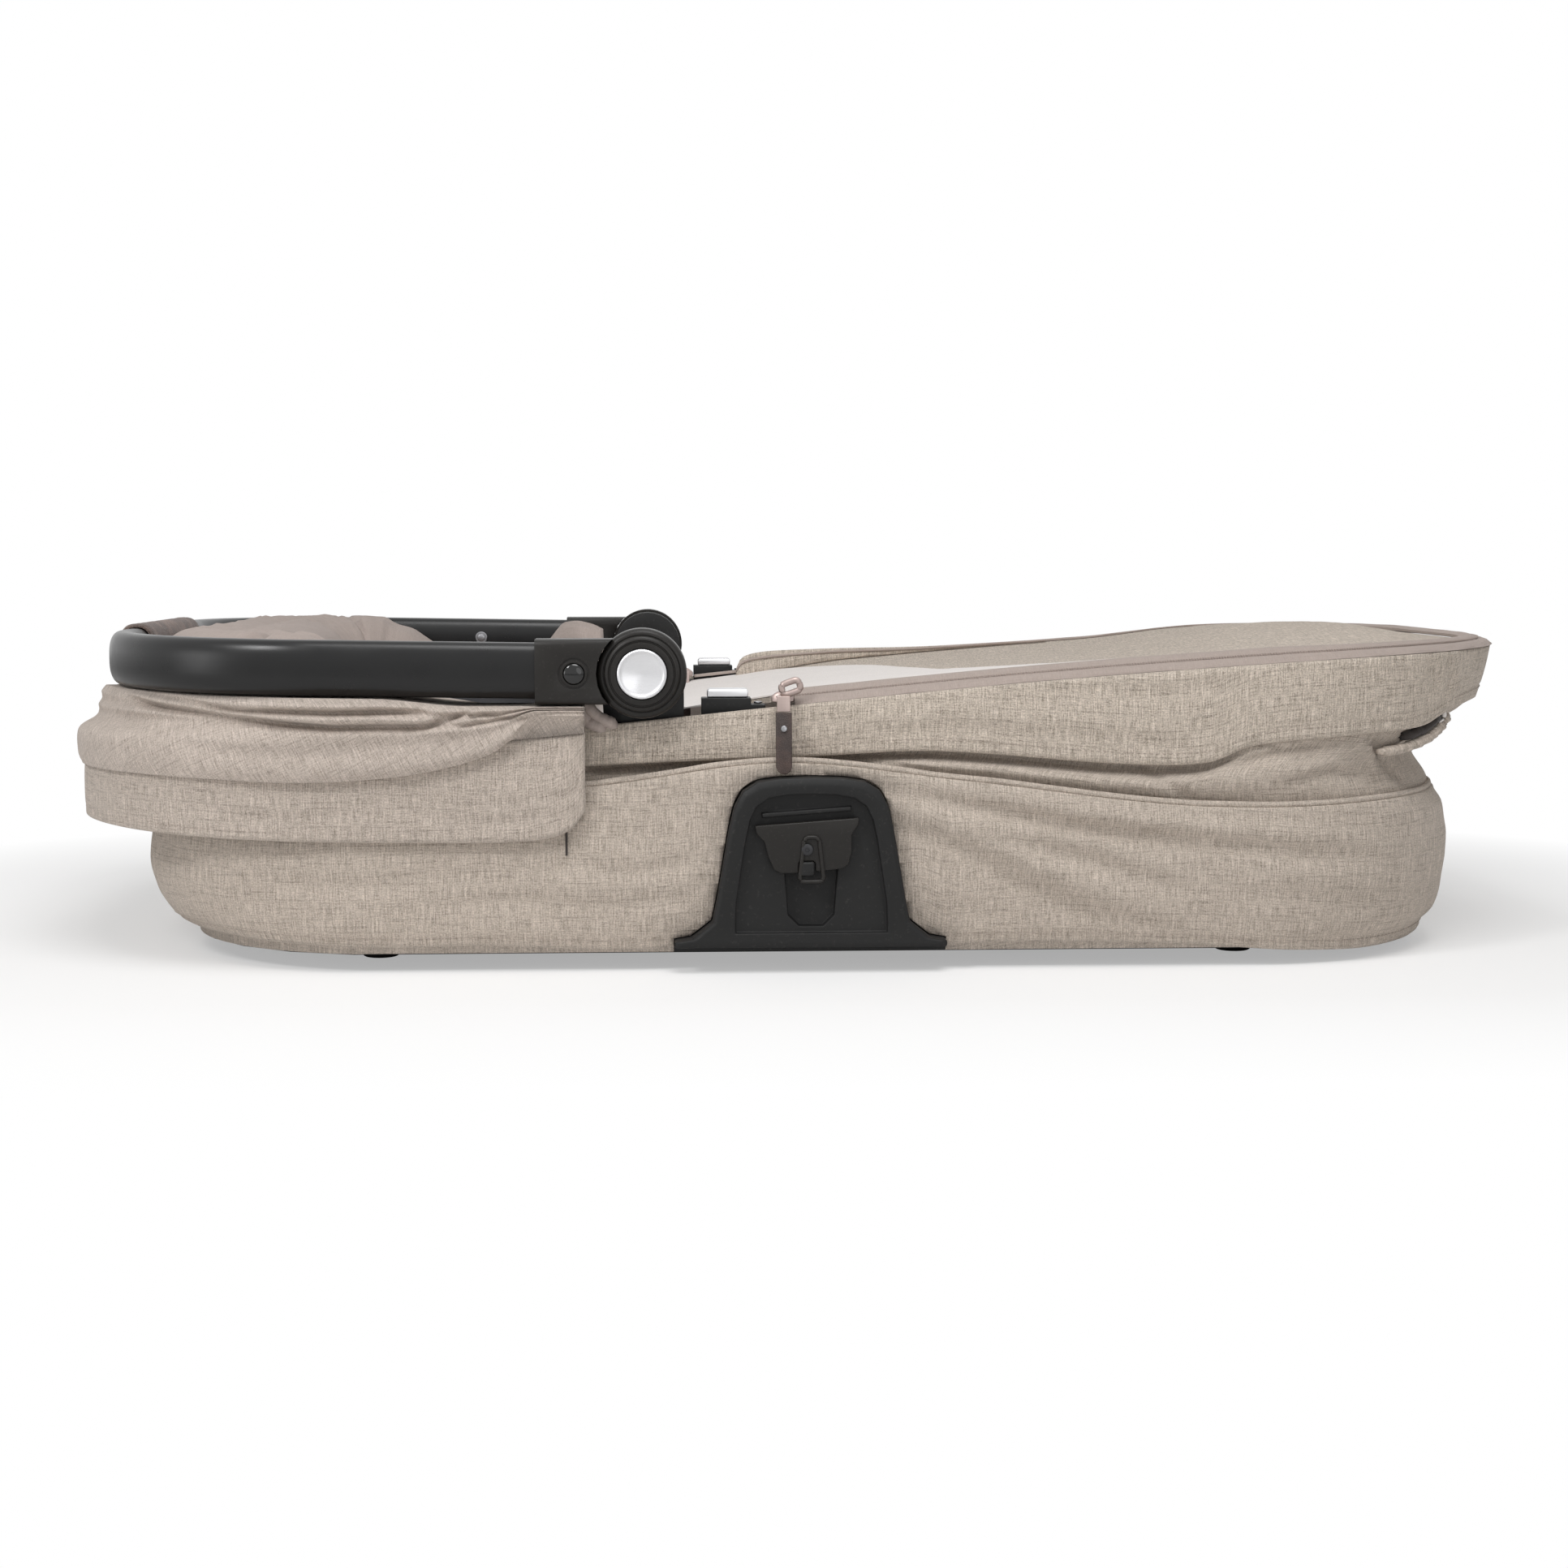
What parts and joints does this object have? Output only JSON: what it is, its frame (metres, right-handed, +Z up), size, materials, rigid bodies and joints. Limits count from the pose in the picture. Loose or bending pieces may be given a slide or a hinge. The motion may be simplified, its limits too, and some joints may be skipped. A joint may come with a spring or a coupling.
{
  "type": "folding carrycot",
  "caption": "Soft-sided carrycot folded flat, with padded tub, zipped foot apron, folded hood, U handle on side hubs and side adapters for a pram chassis.",
  "frame": {"origin": "centre of the bounding box's base, on the floor under the feet", "axes": "+X towards the foot end, -Y the near side of the picture, +Z up"},
  "size_m": [0.8344, 0.453, 0.1857],
  "materials": {
    "tub_linen": "woven linen look, matt",
    "valance_linen": "woven linen look, matt",
    "hood_linen": "woven linen look, matt",
    "hood_lining": "plain woven lining, matt",
    "pale_lining": "plain pale lining, matt",
    "zip_tape": "pale zip tape and binding",
    "black_plastic": "fine grained moulding",
    "black_tube": "satin black",
    "gloss_black": "polished black",
    "silver": "satin silver",
    "steel": "plain steel",
    "spring_steel": "flat spring steel",
    "rubber": "dark rubber",
    "leather": "brown leather",
    "grip_leather": "brown leather"
  },
  "bodies": {
    "base": {"base_board": "black_plastic", "tub_fabric": "tub_linen", "tub_piping": "tub_linen", "wall_fabric": "tub_linen", "inner_liner": "pale_lining", "mattress": "pale_lining", "rubber_foot_head_near": "rubber", "rubber_foot_toe_near": "rubber", "side_bracket_near": "steel", "adapter_housing_near": "black_plastic", "adapter_bracket_near": "black_plastic", "adapter_screw_near": "steel", "rubber_foot_head_far": "rubber", "rubber_foot_toe_far": "rubber", "side_bracket_far": "steel", "adapter_housing_far": "black_plastic", "adapter_bracket_far": "black_plastic", "adapter_screw_far": "steel"},
    "rim": {"rim_frame": "black_plastic", "valance": "valance_linen", "zip_binding": "zip_tape", "foot_apron": "valance_linen", "hood_skirt": "hood_linen", "hood_shell": "hood_linen", "hub_mount_near": "black_plastic", "hub_shaft_near": "steel", "latch_base_near": "black_plastic", "rail_screw_near": "steel", "zip_slider_near": "zip_tape", "hub_mount_far": "black_plastic", "hub_shaft_far": "steel", "latch_base_far": "black_plastic", "rail_screw_far": "steel", "zip_slider_far": "zip_tape"},
    "handle": {"handle_tube": "black_tube", "leather_grip": "grip_leather", "press_stud": "steel", "hood_lining": "hood_lining", "handle_sleeve_near": "black_plastic", "hub_housing_near": "black_plastic", "handle_sleeve_far": "black_plastic", "hub_housing_far": "black_plastic"},
    "hood_bow": {"hood_bow": "spring_steel"},
    "lower_strut_near": {"lower_strut_near": "steel"},
    "upper_strut_near": {"upper_strut_near": "steel"},
    "adapter_catch_near": {"adapter_catch_near": "black_plastic"},
    "hub_button_near": {"hub_button_near": "silver"},
    "sleeve_button_near": {"sleeve_button_near": "gloss_black"},
    "fold_release_near": {"fold_release_near": "silver"},
    "zip_pull_near": {"zip_puller_near": "zip_tape", "zip_strap_near": "leather", "strap_rivet": "steel"},
    "lower_strut_far": {"lower_strut_far": "steel"},
    "upper_strut_far": {"upper_strut_far": "steel"},
    "adapter_catch_far": {"adapter_catch_far": "black_plastic"},
    "hub_button_far": {"hub_button_far": "silver"},
    "sleeve_button_far": {"sleeve_button_far": "gloss_black"},
    "fold_release_far": {"fold_release_far": "silver"},
    "zip_pull_far": {"zip_puller_far": "zip_tape", "zip_strap_far": "leather"}
  },
  "joints": [
    {"name": "rim_lift", "type": "slide", "parent": "base", "child": "rim", "axis": [0, 0, 1], "range_m": [0, 0.095], "deforming": ["wall_fabric", "inner_liner"]},
    {"name": "handle_swing", "type": "hinge", "parent": "rim", "child": "handle", "pos_m": [-0.0882, 0, 0.1617], "axis": [0, 1, 0], "range_deg": [0, 95], "deforming": ["hood_shell", "hood_lining"]},
    {"name": "hood_bow_swing", "type": "hinge", "parent": "rim", "child": "hood_bow", "pos_m": [-0.0882, 0, 0.1617], "axis": [0, 1, 0], "range_deg": [0, 48]},
    {"name": "lower_strut_fold_near", "type": "hinge", "parent": "base", "child": "lower_strut_near", "pos_m": [0.0042, -0.1915, 0.045], "axis": [0, -1, 0], "range_deg": [0, 63.7]},
    {"name": "upper_strut_fold_near", "type": "hinge", "parent": "rim", "child": "upper_strut_near", "pos_m": [0.0042, -0.187, 0.121], "axis": [0, 1, 0], "range_deg": [0, 63.7]},
    {"name": "hub_button_press_near", "type": "slide", "parent": "handle", "child": "hub_button_near", "axis": [0, 1, 0], "range_m": [0, 0.003], "stiffness_N_per_m": 900},
    {"name": "sleeve_button_press_near", "type": "slide", "parent": "handle", "child": "sleeve_button_near", "axis": [0, 1, 0], "range_m": [0, 0.0025], "stiffness_N_per_m": 700},
    {"name": "adapter_catch_press_near", "type": "slide", "parent": "base", "child": "adapter_catch_near", "axis": [0, 1, 0], "range_m": [0, 0.0025], "stiffness_N_per_m": 800},
    {"name": "fold_release_slide_near", "type": "slide", "parent": "rim", "child": "fold_release_near", "axis": [-1, 0, 0], "range_m": [0, 0.008], "stiffness_N_per_m": 300},
    {"name": "zip_pull_swing_near", "type": "hinge", "parent": "rim", "child": "zip_pull_near", "pos_m": [-0.01235, -0.20123, 0.14829], "axis": [-1, 0, 0], "range_deg": [0, 110]},
    {"name": "lower_strut_fold_far", "type": "hinge", "parent": "base", "child": "lower_strut_far", "pos_m": [0.0042, 0.1915, 0.045], "axis": [0, -1, 0], "range_deg": [0, 63.7]},
    {"name": "upper_strut_fold_far", "type": "hinge", "parent": "rim", "child": "upper_strut_far", "pos_m": [0.0042, 0.187, 0.121], "axis": [0, 1, 0], "range_deg": [0, 63.7]},
    {"name": "hub_button_press_far", "type": "slide", "parent": "handle", "child": "hub_button_far", "axis": [0, -1, 0], "range_m": [0, 0.003], "stiffness_N_per_m": 900},
    {"name": "sleeve_button_press_far", "type": "slide", "parent": "handle", "child": "sleeve_button_far", "axis": [0, -1, 0], "range_m": [0, 0.0025], "stiffness_N_per_m": 700},
    {"name": "adapter_catch_press_far", "type": "slide", "parent": "base", "child": "adapter_catch_far", "axis": [0, -1, 0], "range_m": [0, 0.0025], "stiffness_N_per_m": 800},
    {"name": "fold_release_slide_far", "type": "slide", "parent": "rim", "child": "fold_release_far", "axis": [-1, 0, 0], "range_m": [0, 0.008], "stiffness_N_per_m": 300},
    {"name": "zip_pull_swing_far", "type": "hinge", "parent": "rim", "child": "zip_pull_far", "pos_m": [-0.063, 0.16827, 0.14319], "axis": [-1, 0, 0], "range_deg": [0, 110]}
  ],
  "couplings": [
    {"joint": "hood_bow_swing", "follows": "handle_swing", "ratio": 0.5},
    {"joint": "lower_strut_fold_near", "follows": "rim_lift", "rad_per_m": 11.684},
    {"joint": "upper_strut_fold_near", "follows": "rim_lift", "rad_per_m": 11.684},
    {"joint": "lower_strut_fold_far", "follows": "rim_lift", "rad_per_m": 11.684},
    {"joint": "upper_strut_fold_far", "follows": "rim_lift", "rad_per_m": 11.684}
  ]
}
